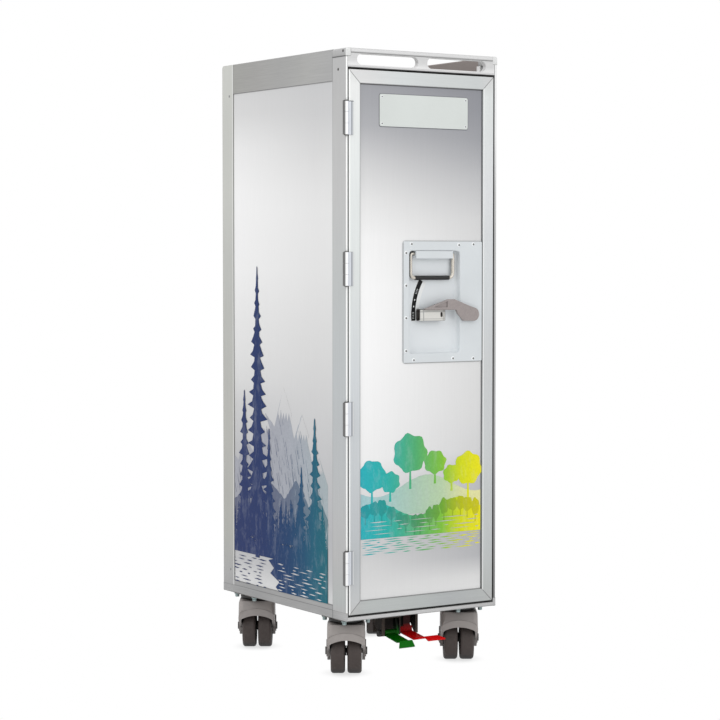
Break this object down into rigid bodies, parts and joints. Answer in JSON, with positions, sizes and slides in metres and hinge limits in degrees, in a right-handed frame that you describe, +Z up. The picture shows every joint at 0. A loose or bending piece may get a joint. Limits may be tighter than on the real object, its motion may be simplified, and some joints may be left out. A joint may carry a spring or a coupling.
{
  "type": "airline galley cart",
  "caption": "Half-size airline galley cart with a hinged door, latch lever and folding bail in a recessed pan, twin-wheel swivel casters and red and green brake pedals.",
  "frame": {"origin": "on the floor under the middle of the cabinet", "axes": "+Z up, +Y from the door to the back, +X to the right seen from the door"},
  "size_m": [0.3248, 0.4154, 1.03],
  "materials": {
    "frame": "satin anodised extrusion",
    "band": "matt brushed, darker than the frame",
    "skin": "brushed sandwich panel",
    "inner": "plain sheet and rails",
    "pan": "smooth pale blue-white paint",
    "lever": "matt cast finish",
    "trigger": "bright pressed sheet",
    "steel": "bright steel",
    "grip": "black moulded sleeve",
    "seal": "black rubber",
    "caster_grey": "mid-grey moulding, fine texture",
    "swivel_black": "black moulding",
    "tread": "dark brown-grey moulded wheel",
    "bracket": "dull grey-brown pressed steel",
    "red": "gloss red paint",
    "green": "gloss green paint"
  },
  "bodies": {
    "cabinet": {"front_post_left": "frame", "front_post_right": "frame", "latch_strike": "steel", "rear_posts": "frame", "top_corner_caps": "frame", "base_corner_blocks": "frame", "front_handle_rail": "frame", "rear_handle_rail": "frame", "top_bands": "band", "bottom_bands": "frame", "front_sill": "frame", "side_panel_left": "skin", "side_panel_right": "skin", "back_panel": "skin", "top_tray": "inner", "floor_panel": "inner", "tray_runners": "inner", "base_plate": "inner", "hinge_body_leaves": "steel", "hinge_pins": "steel", "caster_plates": "steel", "swivel_rings": "swivel_black", "brake_bracket": "bracket", "pedal_bolt": "steel", "brake_bearings": "steel"},
    "door": {"door_stile_left": "frame", "door_stile_right": "frame", "door_rail_top": "frame", "door_rail_bottom": "frame", "door_panel": "skin", "door_seal": "seal", "hinge_door_leaves": "steel", "latch_pan": "pan"},
    "lever": {"latch_lever": "lever", "latch_spindle": "steel"},
    "trigger": {"trigger": "trigger"},
    "bolt": {"latch_bolt": "steel"},
    "bail": {"bail": "steel", "bail_grip": "grip"},
    "brake": {"brake_pedal": "red", "brake_shaft": "steel"},
    "release": {"release_pedal": "green"},
    "plunger_left": {"brake_plunger_left": "steel"},
    "plunger_right": {"brake_plunger_right": "steel"},
    "caster_front_left": {"caster_housing_front_left": "caster_grey", "caster_axle_front_left": "steel"},
    "wheel_front_left_a": {"caster_wheel_front_left_a": "tread"},
    "wheel_front_left_b": {"caster_wheel_front_left_b": "tread"},
    "caster_front_right": {"caster_housing_front_right": "caster_grey", "caster_axle_front_right": "steel"},
    "wheel_front_right_a": {"caster_wheel_front_right_a": "tread"},
    "wheel_front_right_b": {"caster_wheel_front_right_b": "tread"},
    "caster_rear_left": {"caster_housing_rear_left": "caster_grey", "caster_axle_rear_left": "steel"},
    "wheel_rear_left_a": {"caster_wheel_rear_left_a": "tread"},
    "wheel_rear_left_b": {"caster_wheel_rear_left_b": "tread"},
    "caster_rear_right": {"caster_housing_rear_right": "caster_grey", "caster_axle_rear_right": "steel"},
    "wheel_rear_right_a": {"caster_wheel_rear_right_a": "tread"},
    "wheel_rear_right_b": {"caster_wheel_rear_right_b": "tread"}
  },
  "joints": [
    {"name": "door_swing", "type": "hinge", "parent": "cabinet", "child": "door", "pos_m": [-0.1523, -0.2035, 0.5525], "axis": [0, 0, -1], "range_deg": [0, 265]},
    {"name": "lever_turn", "type": "hinge", "parent": "door", "child": "lever", "pos_m": [0.0995, -0.2045, 0.5976], "axis": [0, 1, 0], "range_deg": [0, 22]},
    {"name": "bolt_slide", "type": "slide", "parent": "door", "child": "bolt", "axis": [-1, 0, 0], "range_m": [0, 0.00688]},
    {"name": "trigger_pull", "type": "hinge", "parent": "lever", "child": "trigger", "pos_m": [0.0365, -0.1985, 0.5979], "axis": [0, 1, 0], "range_deg": [0, 5], "stiffness_Nm_per_rad": 0.2, "springref_deg": -8.59},
    {"name": "bail_swing", "type": "hinge", "parent": "door", "child": "bail", "pos_m": [0.02235, -0.1954, 0.6992], "axis": [1, 0, 0], "range_deg": [-90, 0]},
    {"name": "brake_press", "type": "hinge", "parent": "cabinet", "child": "brake", "pos_m": [0, -0.131, 0.1105], "axis": [1, 0, 0], "range_deg": [0, 12]},
    {"name": "release_press", "type": "hinge", "parent": "cabinet", "child": "release", "pos_m": [-0.02, -0.133, 0.06], "axis": [1, 0, 0], "range_deg": [-9.1, 0]},
    {"name": "plunger_left_slide", "type": "slide", "parent": "cabinet", "child": "plunger_left", "axis": [0, 0, -1], "range_m": [0, 0.00315]},
    {"name": "plunger_right_slide", "type": "slide", "parent": "cabinet", "child": "plunger_right", "axis": [0, 0, -1], "range_m": [0, 0.00315]},
    {"name": "swivel_front_left", "type": "hinge", "parent": "cabinet", "child": "caster_front_left", "pos_m": [-0.115, -0.146, 0.09], "axis": [0, 0, 1], "continuous": true},
    {"name": "spin_front_left_a", "type": "hinge", "parent": "caster_front_left", "child": "wheel_front_left_a", "pos_m": [-0.11547, -0.12182, 0.0375], "axis": [0.8377, -0.5461, 0], "continuous": true},
    {"name": "spin_front_left_b", "type": "hinge", "parent": "caster_front_left", "child": "wheel_front_left_b", "pos_m": [-0.09269, -0.13667, 0.0375], "axis": [0.8377, -0.5461, 0], "continuous": true},
    {"name": "swivel_front_right", "type": "hinge", "parent": "cabinet", "child": "caster_front_right", "pos_m": [0.115, -0.146, 0.09], "axis": [0, 0, 1], "continuous": true},
    {"name": "spin_front_right_a", "type": "hinge", "parent": "caster_front_right", "child": "wheel_front_right_a", "pos_m": [0.11453, -0.12182, 0.0375], "axis": [0.8377, -0.5461, 0], "continuous": true},
    {"name": "spin_front_right_b", "type": "hinge", "parent": "caster_front_right", "child": "wheel_front_right_b", "pos_m": [0.13731, -0.13667, 0.0375], "axis": [0.8377, -0.5461, 0], "continuous": true},
    {"name": "swivel_rear_left", "type": "hinge", "parent": "cabinet", "child": "caster_rear_left", "pos_m": [-0.115, 0.146, 0.09], "axis": [0, 0, 1], "continuous": true},
    {"name": "spin_rear_left_a", "type": "hinge", "parent": "caster_rear_left", "child": "wheel_rear_left_a", "pos_m": [-0.11547, 0.17018, 0.0375], "axis": [0.8377, -0.5461, 0], "continuous": true},
    {"name": "spin_rear_left_b", "type": "hinge", "parent": "caster_rear_left", "child": "wheel_rear_left_b", "pos_m": [-0.09269, 0.15533, 0.0375], "axis": [0.8377, -0.5461, 0], "continuous": true},
    {"name": "swivel_rear_right", "type": "hinge", "parent": "cabinet", "child": "caster_rear_right", "pos_m": [0.115, 0.146, 0.09], "axis": [0, 0, 1], "continuous": true},
    {"name": "spin_rear_right_a", "type": "hinge", "parent": "caster_rear_right", "child": "wheel_rear_right_a", "pos_m": [0.11453, 0.17018, 0.0375], "axis": [0.8377, -0.5461, 0], "continuous": true},
    {"name": "spin_rear_right_b", "type": "hinge", "parent": "caster_rear_right", "child": "wheel_rear_right_b", "pos_m": [0.13731, 0.15533, 0.0375], "axis": [0.8377, -0.5461, 0], "continuous": true}
  ],
  "couplings": [
    {"joint": "bolt_slide", "follows": "lever_turn", "m_per_rad": 0.01789},
    {"joint": "release_press", "follows": "brake_press", "ratio": -0.755},
    {"joint": "plunger_left_slide", "follows": "brake_press", "m_per_rad": 0.015},
    {"joint": "plunger_right_slide", "follows": "brake_press", "m_per_rad": 0.015}
  ]
}
